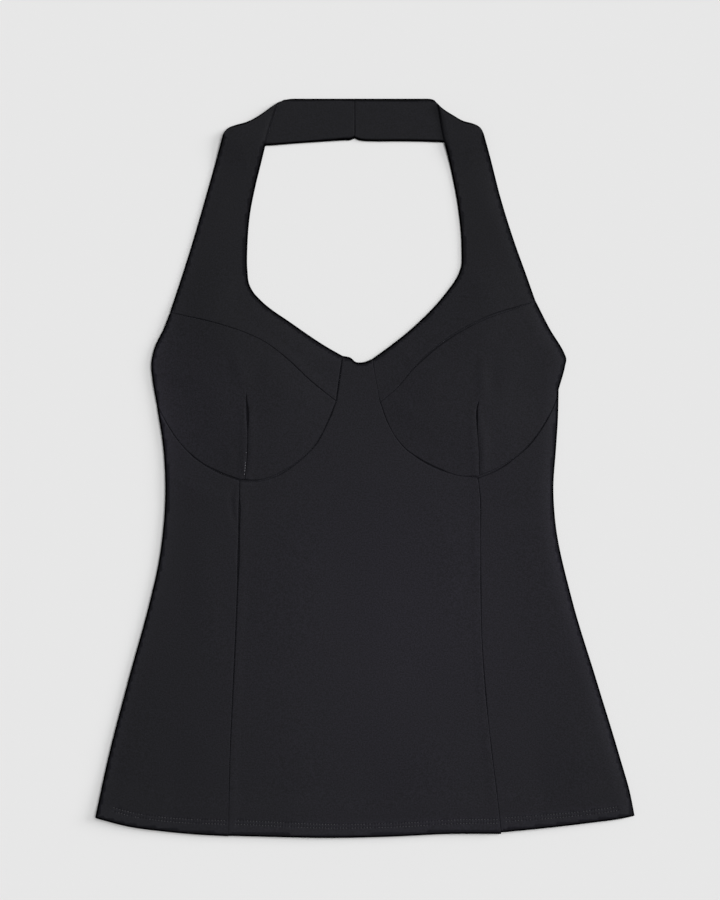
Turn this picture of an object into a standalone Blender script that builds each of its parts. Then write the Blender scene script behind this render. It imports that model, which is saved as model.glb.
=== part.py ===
"""A halter neck top in stretch crepe, laid flat on its back with its front up.

Eight cut pieces: a back, a centre front, two side fronts, two lower cups with a dart each, and two straps.
A strap is the upper cup, the halter strap and half of the neck band in one faced piece. It folds back over
itself at the shoulder and meets the other strap at the centre back seam.

The tables are in millimetres. X runs to the wearer's left, Y from hem to neck, Z up from the surface, and the
origin is on the surface, in the middle of the top. Each side's curves say how far out a point is from the
middle, towards that side, and how far up it is.
"""

import bpy
import numpy as np
from mathutils import Vector
from mathutils.geometry import delaunay_2d_cdt

MM = 0.001
CLOTH = 1.2  # one layer of crepe
STRAP_WALL = 2.2  # crepe and its facing together
SEAM_GAP = 0.3  # between neighbouring pieces

GRID_STEP = 19.0  # spacing of the points inside a piece
EDGE_STEP = 13.0  # spacing of the points along its edges
GRID_CLEAR = 0.45  # share of the grid's step kept free beside other points
RING_SHARE = 0.9  # a ring's point is kept if it is at least this share of the ring's distance inside
MITRE = 0.35  # limits how far a sharp corner moves when an outline is inset

SIDE_SEAM_HEIGHT = 2.0  # where front and back meet along the side seams
SIDE_ROLL = 3.2  # how far in the cloth has turned level from that seam
SIDE_LIP = 0.25  # what is left of the wall's thickness on the seam itself
FRONT_TOP = 3.9  # upper face of the front body
HEM_TOP = 5.1  # upper face of the front where both hems are doubled
HEM_DEPTH = 15.0  # how far up the hem is turned
HEM_STEP = 1.5  # width of the step at the turned edge
HEM_EASE = 30.0  # the front comes down from the hem's height over this length

CUP_RISE = 2.8  # height of a cup's dome above the body
CUP_ROUND = 0.4  # share of that height that rises steeply from the underbust seam
UNDERBUST_REACH = 52.0  # how far from each edge the dome is full
SIDE_REACH = 62.0
NECK_REACH = 58.0
DART_DEPTH = 0.7
DART_WIDTH = 2.5
DART_POINTS = 5  # in each of its three rows

LEVEL_FROM = 176.0  # the strap lies on the surface from here up
LEVEL_TO = 262.0  # and to here
CUP_CLIMB = 62.0  # length over which it climbs to the cup
FOLD_CLIMB = 36.0  # and to the fold
FOLD_RADIUS = 1.3  # of the strap's middle, round the fold
FOLD_SLIDE = 4.0  # how far the strap travels along the fold as it turns over
FOLD_PINCH = 9.0  # from the inner end of the fold, where it is pressed to a sharp corner
FOLD_SHARP = 0.2  # how much of its width the fold keeps at that corner
FOLD_TURNS = 5  # facets round the fold
FOLD_COLUMNS = 8  # and across the strap
BAND_ROWS = 9  # rows of the neck band from the fold to the centre back
BACK_HEM_SHORT = 1.5  # the back's hem hides behind the front's
UNDERARM_HEIGHT = 98.0  # where the back's top edge meets the armhole edge

# Columns: out, up. A curve runs smoothly through its points.
RIGHT = {
    "strap_edge": ((133.3, 278), (143.5, 242), (153.9, 206), (165.2, 170), (175.1, 139.7)),
    "cup_edge": ((175.1, 139.7), (180.9, 125), (189.4, 107), (192, 94), (190.9, 80), (187, 57)),
    "side_seam": ((187, 57), (181, 17), (179.3, -15), (181.2, -55), (185.5, -86), (192.7, -118),
                  (212.4, -190), (231, -262), (242.2, -314)),
    "centre_seam": ((19.9, 100.8), (22.2, 86.5), (25.9, 60)),
    "underbust_inner": ((25.9, 60), (31.7, 45.5), (45.8, 19.5), (67.6, 0.3), (81, -7.2), (96, -11.3),
                        (112.5, -10.8)),
    "underbust_outer": ((112.5, -10.8), (130.5, -4.2), (145.4, 3.8), (158.3, 14), (169.3, 26.6),
                        (178.5, 41), (187, 57)),
    "princess": ((112.5, -10.8), (113.1, -50), (114.6, -110), (117.7, -182), (121.2, -258),
                 (122.4, -329.5)),
    "hem": ((122.4, -330.4), (156.8, -328.5), (184, -325.8), (211, -322), (242.2, -314)),
    "cup_seam": ((175.1, 139.7), (158.7, 136), (132, 129.6), (106, 121), (93, 115.1), (70.5, 98.8),
                 (50.4, 79.8), (25.9, 60)),
    "neck_edge": ((85.3, 305), (92.3, 278), (98.7, 252), (103, 230), (105.6, 200), (105.6, 178),
                  (103.9, 165.2), (100, 157.8), (93.9, 151.1), (65, 129.6), (32.7, 108), (19.9, 100.8)),
    "fold": ((127, 301), (123.5, 305.3), (117, 308), (106, 311), (95.5, 316.5), (81.1, 326.6),
             (77.5, 328.7)),
    "band_top": ((73.9, 330.3), (70.3, 331.3), (65, 332), (61, 332), (9.3, 332)),
    "band_bottom": ((106, 290), (88.4, 289.9), (60, 291.9), (30, 293.9), (18, 294.6), (12.5, 294.8),
                    (9.3, 296.4)),
    "dart": ((106.7, 68), (105.6, 47), (105.2, 30), (105.6, 12), (107.6, -10.3)),
}
LEFT = {
    "strap_edge": ((113, 278), (122.3, 242), (133.5, 206), (146.4, 170), (153.4, 150)),
    "cup_edge": ((153.4, 150), (166.2, 125), (179.7, 102), (181, 98.5), (180, 92), (174.1, 70.5)),
    "side_seam": ((174.1, 70.5), (173.5, 45), (171.7, 17), (169.4, -19), (170.9, -46), (186.1, -118),
                  (207.9, -190), (229.8, -262), (238.3, -292), (242.3, -312.3)),
    "centre_seam": ((6.6, 98.1), (9, 83.3), (13.7, 59)),
    "underbust_inner": ((13.7, 59), (20, 41.6), (26.7, 29), (35.3, 18.3), (46.5, 9.7), (71.4, -2.9),
                        (84.7, -6.9), (101.3, -8.3)),
    "underbust_outer": ((101.3, -8.3), (118.3, -1.4), (131.3, 6.8), (143, 16.4), (153, 27.6), (163, 43),
                        (171.7, 61), (174.1, 70.5)),
    "princess": ((101.3, -8.3), (103.2, -24), (103.6, -60), (103.9, -110), (105, -156), (108.4, -204),
                 (113.4, -252), (119.3, -300), (122.2, -327)),
    "hem": ((122.2, -327), (153.7, -324), (180, -321.1), (208, -317.7), (226, -315.4), (242.3, -312.3)),
    "cup_seam": ((153.4, 150), (137.7, 144.7), (112, 136.2), (87.4, 124.2), (64.7, 109), (44.7, 90.8),
                 (27.4, 70.6), (13.7, 59)),
    "neck_edge": ((68.3, 307.5), (77.1, 269), (83.8, 233), (86.8, 197), (86.1, 180), (82, 170.3),
                  (75, 160.3), (41.1, 124.5), (18.7, 106.8), (6.6, 98.1)),
    "fold": ((106.3, 301.5), (104.5, 305.3), (98.5, 309.1), (87.9, 312), (80, 316.6), (69, 323.8),
             (65.6, 327)),
    "band_top": ((62.5, 330.6), (60.5, 331.5), (56, 332), (52, 332), (-9.3, 332)),
    "band_bottom": ((91, 292), (68.2, 292.8), (52, 293.4), (32, 293.7), (6, 293.7), (-1, 294),
                    (-5.5, 294.7), (-9.3, 296.4)),
    "dart": ((102.3, 61), (100.6, 54), (100.4, 41), (101.3, 26.5), (102.4, 12), (102.5, -7)),
}
SIDES = {"right": (-1, RIGHT), "left": (1, LEFT)}

# The centre front's own edges. Columns: x, y.
CENTRE_NECK = ((6.6, 98.1), (-0.2, 95.3), (-4, 94.8), (-8, 95.2), (-12.8, 99.1), (-19.9, 100.8))
CENTRE_HEM = ((-122.4, -330), (-75, -331.2), (-30, -332), (0, -331.5), (32, -330.4), (72, -328.5),
              (122.2, -328.3))
BACK_NECK = ((181.2, 97), (90, 88), (-10, 84), (-100, 86), (-192.5, 93))

FABRIC_COLOUR = (0.0177, 0.0176, 0.0194, 1.0)
FABRIC_ROUGHNESS = 0.88


def smooth(points, step=EDGE_STEP):
    """A smooth curve through the points, read about every step, and at each of the points."""
    points = np.array(points, float)
    lengths = np.linalg.norm(np.diff(points, axis=0), axis=1)
    slopes = np.diff(points, axis=0) / lengths[:, None]
    inner = slopes[:-1] * lengths[1:, None] + slopes[1:] * lengths[:-1, None]
    inner /= (lengths[:-1] + lengths[1:])[:, None]
    tangents = np.vstack((slopes[:1], inner, slopes[-1:]))
    read = [points[:1]]
    for k, length in enumerate(lengths):
        t = np.linspace(0, 1, max(1, round(length / step)) + 1)[1:, None]
        start = (1 + 2 * t) * (1 - t) ** 2 * points[k] + t * (1 - t) ** 2 * length * tangents[k]
        end = t**2 * (3 - 2 * t) * points[k + 1] + t**2 * (t - 1) * length * tangents[k + 1]
        read.append(start + end)
    return np.vstack(read)


def joined(*curves):
    """The curves one after the other, with the point that two of them share taken once."""
    return np.vstack([curves[0]] + [curve[1:] for curve in curves[1:]])


def along(curve):
    """The length along the curve at each of its points."""
    return np.concatenate(([0], np.cumsum(np.linalg.norm(np.diff(curve, axis=0), axis=1))))


def read_at(curve, lengths):
    """The curve's points at these lengths along it."""
    return np.column_stack([np.interp(lengths, along(curve), curve[:, k]) for k in (0, 1)])


def spaced(curve, count):
    """The curve read at evenly spaced points."""
    return read_at(curve, np.linspace(0, along(curve)[-1], count))


def side_curves(side):
    """The side's curves in its own out and up."""
    return {name: smooth(points) for name, points in SIDES[side][1].items()}


def placed(curve, side):
    """A side's curve in X and Y."""
    return curve * (SIDES[side][0], 1)


CURVES = {side: side_curves(side) for side in SIDES}
SIDE_EDGES = [placed(joined(CURVES[side]["cup_edge"], CURVES[side]["side_seam"]), side) for side in SIDES]
HEM_LINE = np.vstack((
    placed(CURVES["right"]["hem"][::-1], "right"),
    smooth(CENTRE_HEM),
    placed(CURVES["left"]["hem"], "left"),
))


def counter_clockwise(outline):
    x, y = outline.T
    area = np.dot(x, np.roll(y, -1)) - np.dot(y, np.roll(x, -1))
    return outline if area > 0 else outline[::-1]


def closed(*curves):
    """One outline of curves that follow each other, without the last point, which is the first again."""
    return joined(*curves)[:-1]


def inset(outline, depth):
    """The counter-clockwise outline, moved inward."""
    edges = np.roll(outline, -1, axis=0) - outline
    edges /= np.linalg.norm(edges, axis=1)[:, None]
    after = np.column_stack((-edges[:, 1], edges[:, 0]))
    before = np.roll(after, 1, axis=0)
    spread = np.maximum(1 + (before * after).sum(axis=1), MITRE)
    return outline + depth * (before + after) / spread[:, None]


def distance(points, line):
    """How far each point is from the line."""
    starts, runs = line[:-1], np.diff(line, axis=0)
    reach = points[:, None] - starts
    share = np.clip((reach * runs).sum(axis=2) / (runs**2).sum(axis=1), 0, 1)
    return np.linalg.norm(reach - share[..., None] * runs, axis=2).min(axis=1)


def within(points, outline):
    """Which points are inside the outline."""
    x, y = points[:, :1], points[:, 1:]
    ends = np.roll(outline, -1, axis=0)
    crossed = (outline[:, 1] > y) != (ends[:, 1] > y)
    rise = np.where(outline[:, 1] == ends[:, 1], 1.0, ends[:, 1] - outline[:, 1])
    meets = outline[:, 0] + (y - outline[:, 1]) * (ends[:, 0] - outline[:, 0]) / rise
    return (crossed & (x < meets)).sum(axis=1) % 2 == 1


def ease(share):
    """0 below 0, 1 above 1, and a soft step between them."""
    share = np.clip(share, 0, 1)
    return share**2 * (3 - 2 * share)


def quarter(share):
    """How high a quarter of an ellipse has risen this far along it."""
    return np.sqrt(1 - (1 - np.clip(share, 0, 1)) ** 2)


def from_side(points):
    """How far each point is from the nearer side seam, or from the armhole edge above it."""
    return np.minimum(*[distance(points, edge) for edge in SIDE_EDGES])


def in_hem(points):
    """1 on the turned-up hem, and 0 above it."""
    return np.clip((HEM_DEPTH + HEM_STEP - distance(points, HEM_LINE)) / HEM_STEP, 0, 1)


def body_level(points):
    """The front body's upper face, away from its side seams."""
    near_hem = ease((HEM_DEPTH + HEM_EASE - distance(points, HEM_LINE)) / HEM_EASE)
    return FRONT_TOP + (HEM_TOP - FRONT_TOP) * near_hem


def dome(points, side):
    """How far a cup stands above the body."""
    curves = CURVES[side]
    underbust = joined(curves["centre_seam"], curves["underbust_inner"], curves["underbust_outer"])
    outer = joined(curves["strap_edge"], curves["cup_edge"])
    up = np.clip(distance(points, placed(underbust, side)) / UNDERBUST_REACH, 0, 1)
    across = ease(distance(points, placed(outer, side)) / SIDE_REACH)
    down = ease(distance(points, placed(curves["neck_edge"], side)) / NECK_REACH)
    return CUP_RISE * (CUP_ROUND * up * (2 - up) + (1 - CUP_ROUND) * ease(up)) * across * down


def dart_groove(points, side):
    away = distance(points, placed(CURVES[side]["dart"], side))
    return DART_DEPTH * (1 - ease(away / DART_WIDTH))


def rolled_top(points, level):
    """The front's upper face, turned down to the side seam."""
    low = SIDE_SEAM_HEIGHT + SEAM_GAP / 2 + SIDE_LIP
    return low + (level - low) * quarter(from_side(points) / SIDE_ROLL)


def rolled_bottom(points, level):
    """The front's lower face, turned down to the side seam inside the upper one."""
    low = SIDE_SEAM_HEIGHT + SEAM_GAP / 2
    share = (from_side(points) - CLOTH) / (SIDE_ROLL - CLOTH)
    return low + (level - low) * quarter(share)


def body_top(points):
    return rolled_top(points, body_level(points))


def body_bottom(points):
    return rolled_bottom(points, body_level(points) - CLOTH * (1 + in_hem(points)))


def back_top(points):
    """The back's upper face, turned up to the side seam inside the lower one."""
    high = SIDE_SEAM_HEIGHT - SEAM_GAP / 2
    share = (from_side(points) - CLOTH) / (SIDE_ROLL - CLOTH)
    return high + (CLOTH * (1 + in_hem(points)) - high) * quarter(share)


def back_bottom(points):
    high = SIDE_SEAM_HEIGHT - SEAM_GAP / 2 - SIDE_LIP
    return high * (1 - quarter(from_side(points) / SIDE_ROLL))


def strap_top(points, side):
    """The strap's upper face: on the cup, then down on the surface, then up to the fold."""
    up = points[:, 1]
    to_fold = ease((up - LEVEL_TO) / FOLD_CLIMB)
    to_cup = ease((LEVEL_FROM - up) / CUP_CLIMB)
    level = STRAP_WALL + 2 * FOLD_RADIUS * to_fold + (FRONT_TOP - STRAP_WALL) * to_cup
    return level + dome(points, side)


def triangulate(outline, inner):
    """The outline and the points in it as triangles."""
    points = np.vstack((outline, inner))
    loop = [list(range(len(outline)))]
    found = delaunay_2d_cdt([Vector(point) for point in points], [], loop, 1, 1e-6)
    order = np.array([kept[0] for kept in found[3]])
    return points, order[np.array(found[2])]


def inner_points(outline, rings=(), extra=()):
    """Points for the inside of a piece: rings beside the side seams, then any extra, then a square grid."""
    low, high = outline.min(axis=0), outline.max(axis=0)
    columns = np.arange(low[0] + GRID_STEP / 2, high[0], GRID_STEP)
    rows = np.arange(low[1] + GRID_STEP / 2, high[1], GRID_STEP)
    grid = np.array(np.meshgrid(columns, rows)).reshape(2, -1).T
    loop = np.vstack((outline, outline[:1]))
    kept = [np.empty((0, 2))]
    for ring in rings:
        near = inset(outline, ring)
        near = near[distance(near, loop) > RING_SHARE * ring]
        kept.append(near[from_side(near) < ring / RING_SHARE])
    kept.extend(extra)
    taken = np.vstack(kept)
    grid = grid[within(grid, outline)]
    grid = grid[distance(grid, loop) > GRID_STEP * GRID_CLEAR]
    if len(taken):
        gaps = np.linalg.norm(grid[:, None] - taken, axis=2).min(axis=1)
        grid = grid[gaps > GRID_STEP * GRID_CLEAR]
    return np.vstack((taken, grid))


def wall(name, upper, lower, triangles):
    """A closed wall between two faces that share their triangles."""
    edges = np.vstack([triangles[:, pair] for pair in ((0, 1), (1, 2), (2, 0))])
    known = {tuple(edge) for edge in edges.tolist()}
    rim = [(a, b) for a, b in known if (b, a) not in known]
    count = len(upper)
    faces = triangles.tolist()
    faces += [[a + count, b + count, c + count] for c, b, a in triangles.tolist()]
    for a, b in sorted(rim):
        faces.append([a + count, b + count, b])
        faces.append([a + count, b, a])
    mesh = bpy.data.meshes.new(name)
    mesh.from_pydata((np.vstack((upper, lower)) * MM).tolist(), [], faces)
    mesh.materials.append(fabric(name))
    piece = bpy.data.objects.new(name, mesh)
    bpy.context.collection.objects.link(piece)
    return piece


def fabric(name):
    material = bpy.data.materials.new(name + "_fabric")
    material.use_nodes = True
    shader = material.node_tree.nodes["Principled BSDF"]
    shader.inputs["Base Color"].default_value = FABRIC_COLOUR
    shader.inputs["Roughness"].default_value = FABRIC_ROUGHNESS
    shader.inputs["Metallic"].default_value = 0.0
    return material


def panel(name, outline, top, bottom, rings=(), extra=()):
    """A flat-cut piece between the two height functions."""
    outline = inset(counter_clockwise(outline), SEAM_GAP / 2)
    points, triangles = triangulate(outline, inner_points(outline, rings, extra))
    upper = np.column_stack((points, top(points)))
    lower = np.column_stack((points, bottom(points)))
    return wall(name, upper, lower, triangles)


def hem_rings(outline):
    """Points on both sides of the step where the turned-up hem ends."""
    rows = []
    for depth in (HEM_DEPTH, HEM_DEPTH + HEM_STEP):
        near = inset(outline, depth)
        near = near[within(near, outline)]
        on_step = np.abs(distance(near, HEM_LINE) - depth) < SEAM_GAP
        clear = distance(near, np.vstack((outline, outline[:1]))) > RING_SHARE * depth
        rows.append(near[on_step & clear])
    return rows


def make_back():
    sides = {side: placed(CURVES[side]["side_seam"], side) for side in SIDES}
    corners = {side: placed(CURVES[side]["cup_edge"], side) for side in SIDES}
    underarm = {side: corner[corner[:, 1] < UNDERARM_HEIGHT] for side, corner in corners.items()}
    right = joined(underarm["right"], sides["right"])
    left = joined(underarm["left"], sides["left"])
    hem = HEM_LINE[1:-1] + (0, BACK_HEM_SHORT)
    top = smooth(BACK_NECK)[1:-1]
    outline = counter_clockwise(np.vstack((right, hem, left[::-1], top)))
    outline_in = inset(outline, SEAM_GAP / 2)
    panel("back", outline, back_top, back_bottom, rings=(CLOTH, SIDE_ROLL), extra=hem_rings(outline_in))


def make_centre_front():
    right, left = CURVES["right"], CURVES["left"]
    up_left = joined(left["princess"][::-1], left["underbust_inner"][::-1], left["centre_seam"][::-1])
    down_right = joined(right["centre_seam"], right["underbust_inner"], right["princess"])
    outline = np.vstack((
        smooth(CENTRE_HEM),
        placed(up_left, "left"),
        smooth(CENTRE_NECK)[1:-1],
        placed(down_right, "right"),
    ))
    outline_in = inset(counter_clockwise(outline), SEAM_GAP / 2)
    panel("centre_front", outline, body_top, body_bottom, extra=hem_rings(outline_in))


def make_side_front(side):
    curves = CURVES[side]
    outline = closed(
        curves["hem"], curves["side_seam"][::-1], curves["underbust_outer"][::-1], curves["princess"]
    )
    outline = counter_clockwise(placed(outline, side))
    outline_in = inset(outline, SEAM_GAP / 2)
    name = "side_front_" + side
    panel(name, outline, body_top, body_bottom, rings=(CLOTH, SIDE_ROLL), extra=hem_rings(outline_in))


def make_cup(side):
    curves = CURVES[side]
    outline = closed(
        curves["underbust_inner"], curves["underbust_outer"], curves["cup_edge"][::-1], curves["cup_seam"]
    )

    def top(points):
        level = body_level(points) + dome(points, side) - dart_groove(points, side)
        return rolled_top(points, level)

    def bottom(points):
        level = body_level(points) + dome(points, side) - dart_groove(points, side) - CLOTH
        return rolled_bottom(points, level)

    dart = spaced(placed(curves["dart"], side), DART_POINTS + 1)[:-1]
    beside = [dart + (offset, 0) for offset in (-DART_WIDTH, DART_WIDTH)]
    panel("cup_" + side, placed(outline, side), top, bottom, rings=(CLOTH, SIDE_ROLL), extra=[dart, *beside])


def fold_row(side):
    """Where the strap starts to turn over, from its outer to its inner edge, with its turn and its slide."""
    tables = SIDES[side][1]
    total = along(CURVES[side]["fold"])[-1]
    lengths = np.linspace(0, total, FOLD_COLUMNS + 1)
    outer_run = np.subtract(tables["fold"][0], tables["strap_edge"][0])
    inner_run = np.subtract(tables["fold"][-1], tables["neck_edge"][0])
    across = (lengths / total)[:, None]
    run = (1 - across) * outer_run / np.linalg.norm(outer_run)
    run += across * inner_run / np.linalg.norm(inner_run)
    run *= (FOLD_SHARP + (1 - FOLD_SHARP) * ease((total - lengths) / FOLD_PINCH))[:, None]
    crest = smooth(tables["fold"] + tables["band_top"][:3])
    start = read_at(crest, lengths)
    slide = read_at(crest, lengths + FOLD_SLIDE) - start
    row = start - run * (FOLD_RADIUS + STRAP_WALL / 2)
    return placed(row, side), placed(run, side), placed(slide, side)


def strap_outline(side, row):
    """The strap's front layer, from the cup seam up to the row where it turns over."""
    tables = SIDES[side][1]
    curves = CURVES[side]
    neck = smooth(np.vstack((placed(row[-1:], side), tables["neck_edge"])))
    outer = smooth(np.vstack((placed(row[:1], side), tables["strap_edge"])))
    below = joined(curves["cup_seam"], curves["centre_seam"][::-1], neck[::-1])
    return closed(placed(below, side), row[::-1], placed(outer, side))


def band_rows(side, row):
    """The neck band's rows from the fold to the centre back, each from its lower to its upper edge."""
    tables = SIDES[side][1]
    low = smooth(np.vstack((placed(row[:1], side), tables["band_bottom"])))
    high = smooth(np.vstack((placed(row[-1:], side), tables["band_top"])))
    low = placed(spaced(low, BAND_ROWS + 1), side)
    high = placed(spaced(high, BAND_ROWS + 1), side)
    across = np.linspace(0, 1, len(row))[:, None]
    bend = row - (row[0] + across * (row[-1] - row[0]))
    rows = []
    for k in range(1, BAND_ROWS + 1):
        fade = (1 - k / BAND_ROWS) ** 2
        rows.append(low[k] + across * (high[k] - low[k]) + fade * bend)
    rows[-1] = rows[-1] + placed(np.array((SEAM_GAP / 2, 0)), side)
    return rows


def turned_over(side, row, run, slide):
    """The strap's right side and its facing side from the fold to the centre back, row by row."""
    outer_radius = FOLD_RADIUS + STRAP_WALL / 2
    inner_radius = FOLD_RADIUS - STRAP_WALL / 2
    upper, lower = [], []
    for k in range(1, FOLD_TURNS + 1):
        turn = np.pi * k / FOLD_TURNS
        slid = row + slide * (1 - np.cos(turn)) / 2
        for radius, face in ((outer_radius, upper), (inner_radius, lower)):
            height = np.full((len(row), 1), outer_radius + radius * np.cos(turn))
            face.append(np.hstack((slid + run * radius * np.sin(turn), height)))
    for band in band_rows(side, row + slide):
        upper.append(np.insert(band, 2, 0.0, axis=1))
        lower.append(np.insert(band, 2, STRAP_WALL, axis=1))
    return np.vstack(upper), np.vstack(lower)


def strips(first, offset, count):
    """Triangles between the first row of points and the rows that follow it from offset on."""
    width = len(first)
    rows = [list(first)]
    rows += [list(range(offset + k * width, offset + (k + 1) * width)) for k in range(count)]
    forward = first[1] - first[0] == 1
    triangles = []
    for near, far in zip(rows, rows[1:]):
        for k in range(width - 1):
            a, b, c, d = near[k], near[k + 1], far[k + 1], far[k]
            pair = ((b, a, d), (b, d, c)) if forward else ((a, b, c), (a, c, d))
            triangles.extend(pair)
    return np.array(triangles)


def make_strap(side):
    row, run, slide = fold_row(side)
    outline = counter_clockwise(strap_outline(side, row))
    at_fold = [int(np.linalg.norm(outline - point, axis=1).argmin()) for point in row]
    outline = inset(outline, SEAM_GAP / 2)
    points, triangles = triangulate(outline, inner_points(outline))
    front = np.column_stack((points, strap_top(points, side)))
    upper, lower = turned_over(side, outline[at_fold], run, slide)
    added = strips(at_fold, len(points), FOLD_TURNS + BAND_ROWS)
    upper = np.vstack((front, upper))
    lower = np.vstack((front - (0, 0, STRAP_WALL), lower))
    wall("strap_" + side, upper, lower, np.vstack((triangles, added)))


def main():
    for old in list(bpy.data.objects):
        bpy.data.objects.remove(old)
    make_back()
    make_centre_front()
    for side in SIDES:
        make_side_front(side)
        make_cup(side)
        make_strap(side)


main()
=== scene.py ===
"""Looks of the halter neck top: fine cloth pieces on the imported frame, laid flat with the front up.

The tables are in millimetres from the middle of the frame's box, with Z up from the surface. Each side's
curves say how far out a point is from the middle, towards that side, and how far up it is.
"""
import math
import random

import bpy
import numpy as np
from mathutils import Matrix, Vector
from mathutils.geometry import delaunay_2d_cdt


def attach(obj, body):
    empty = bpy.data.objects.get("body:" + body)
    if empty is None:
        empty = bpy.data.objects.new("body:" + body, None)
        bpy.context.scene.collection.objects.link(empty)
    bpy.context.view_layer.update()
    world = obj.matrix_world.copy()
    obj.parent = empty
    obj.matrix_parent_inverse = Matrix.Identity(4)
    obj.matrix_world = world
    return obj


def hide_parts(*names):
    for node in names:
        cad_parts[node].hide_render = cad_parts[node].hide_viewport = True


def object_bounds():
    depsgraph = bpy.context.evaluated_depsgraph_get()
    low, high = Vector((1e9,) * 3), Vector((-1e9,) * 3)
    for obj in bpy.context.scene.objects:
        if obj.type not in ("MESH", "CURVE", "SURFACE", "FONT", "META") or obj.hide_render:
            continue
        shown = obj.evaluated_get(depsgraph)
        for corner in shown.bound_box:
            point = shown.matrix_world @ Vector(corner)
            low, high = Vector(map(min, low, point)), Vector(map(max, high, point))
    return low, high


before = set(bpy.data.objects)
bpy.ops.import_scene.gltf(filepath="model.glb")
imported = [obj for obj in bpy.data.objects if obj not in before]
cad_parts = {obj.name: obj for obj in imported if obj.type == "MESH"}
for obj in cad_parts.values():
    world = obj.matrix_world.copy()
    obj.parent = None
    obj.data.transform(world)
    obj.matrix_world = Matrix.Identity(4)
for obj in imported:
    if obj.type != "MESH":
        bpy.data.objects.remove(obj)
CAD_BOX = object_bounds()
MIDDLE = np.array([(CAD_BOX[0][k] + CAD_BOX[1][k]) / 2 for k in (0, 1)])
SURFACE = CAD_BOX[0][2]

MM = 0.001
CLOTH = 1.2  # one layer of crepe
STRAP_WALL = 2.2  # crepe and its facing together
SEAM_GAP = 0.03  # between neighbouring pieces, down inside the seam

GRID_STEP = 2.2  # spacing of the points inside a piece
BACK_STEP = 3.2  # and inside the back, which lies under the rest
EDGE_STEP = 2.0  # spacing of the points along the edges
DART_STEP = 1.0  # and along a dart
GRID_CLEAR = 0.45  # share of the grid's step kept free beside a ring
RING_SHARE = 0.93  # a ring's point is kept from this share of its distance inside
MITRE = 0.35  # limits how far a sharp corner moves when an outline is inset

# The waves that make a line uneven. Columns: height, pace, and share of the seed.
WAVES = ((1.0, 1.0, 1.0), (0.7, 0.618, 2.3), (0.5, 1.71, 5.1))

# How deep each seam is drawn in, at even steps along it.
SEAM_DEPTHS = {
    "right": {
        "centre_seam": (1.6, 2.1, 2.05, 1.9),
        "underbust": (1.8, 2.1, 1.9, 2.1, 1.6, 2.1, 2.4, 2.0, 2.3, 2.2, 2.3, 1.9, 2.0, 1.2, 1.8, 1.1, 1.7),
        "princess": (0.4, 2.4, 2.1, 2.4, 1.9, 1.95, 1.9, 1.9, 1.75, 1.6, 0.9, 0.9, 0.35, 0.25),
        "cup_seam": (1.2, 1.5, 1.95, 1.8, 1.1, 0.8, 0.6, 0.7, 0.9, 1.7, 1.4, 1.3, 0.8),
    },
    "left": {
        "centre_seam": (1.1, 0.35, 0.3, 0.5),
        "underbust": (0.9, 1.4, 0.6, 1.15, 1.9, 2.1, 2.1, 0.6, 2.4, 2.4, 2.3, 1.7, 2.15, 1.9, 2.05, 1.4, 1.7),
        "princess": (0.5, 1.7, 0.6, 0.7, 1.8, 0.9, 0.8, 1.4, 1.9, 0.5, 1.0, 0.8, 0.7, 0.8),
        "cup_seam": (1.2, 2.0, 2.35, 2.4, 2.3, 2.35, 2.4, 2.3, 2.3, 1.9, 1.3, 0.5, 0.3),
    },
}
SEAM_TURN = 0.7  # how wide a seam's turn is, for the shares below
SEAM_WIDTHS = (0.75, 0.2)  # at no depth, and what each millimetre adds
EDGE_RINGS = (0.05, 0.25, 0.5, 1.0, 1.6, 2.4)  # where a turn's points lie
SEAM_SLIT = (1.8, 1.0)  # deeper than this a seam stands open, by this share of the rest
SEAM_SHARE = 0.85  # of the wall that the turn may take
HEM_TURN = 2.2  # the hem's soft edge
THIN_EDGE = 0.14  # share of the wall left at a rounded edge

SIDE_SEAM_HEIGHT = 2.0  # where front and back meet along the side seams
SIDE_ROLL = 2.6  # how far in the cloth has turned level from that seam
SIDE_LIP = 0.25  # what is left of the wall on that seam
FRONT_TOP = 3.9  # upper face of the front body
HEM_TOP = 5.1  # upper face of the front where both hems are doubled
HEM_DEPTH = 15.0  # how far up the hem is turned
HEM_STEP = 1.5  # width of the step at the turned edge
HEM_EASE = 30.0  # over this length the front comes down from it
BACK_HEM_SHORT = 1.5  # the back's hem hides behind the front's
UNDERARM_HEIGHT = 98.0  # where the back's top edge meets the armhole edge

CUP_RISE = 2.8  # height of a cup's dome above the body
CUP_ROUND = 0.4  # share of it that rises steeply from the underbust seam
UNDERBUST_REACH = 52.0  # how far from each edge the dome is full
SIDE_REACH = 62.0
NECK_REACH = 58.0

# How far the cloth lifts or sinks towards its edges, and over what length.
EDGE_TILT = {"right": (0.4, 7.0), "left": (-1.4, 7.0), "hem": (0.9, 9.0), "neck": (-0.9, 7.0)}
STRAP_TILT = 0.4  # share of that at the strap's outer edge

# A painted sheen that makes the cloth paler along each edge: how strong it is, and how far in it reaches.
PAINTED_SHEEN_SIDES = {"right": 2.1, "left": 2.3}
PAINTED_SHEEN_HEM = 0.8
PAINTED_SHEEN_NECK = 0.6
PAINTED_SHEEN_BAND = 0.5
PAINTED_SHEEN_STEP = 6.0  # at the hem's upper edge
PAINTED_SHEEN_REACH = 3.0  # at the neck and the band
OUTER_REACH = (3.2, 2.3)  # at the strap's outer edge, and what the body's has more

RIM = (1.4, 2.1)  # where the painted shade of the dark rim along a free edge starts to fade, and ends
BAND_RIM = 0.8  # distances on the band count at this share
HIDDEN_RIM = 0.7  # share of its painted shade that the rim loses on the band
RIM_FACING = (0.02, 0.20)  # how far up a face looks where the rim's painted shade starts, and is full
RIM_STEPS = (0.2, 0.7)  # the strengths of painted shade from which a face takes the next, duller cloth
CLOTH_LOOKS = (("black_crepe", 1.0), ("half_rim_shade_crepe", 0.5), ("rim_shade_crepe", 0.05))  # with their gloss; the duller copies paint the shade of the rim

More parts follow.
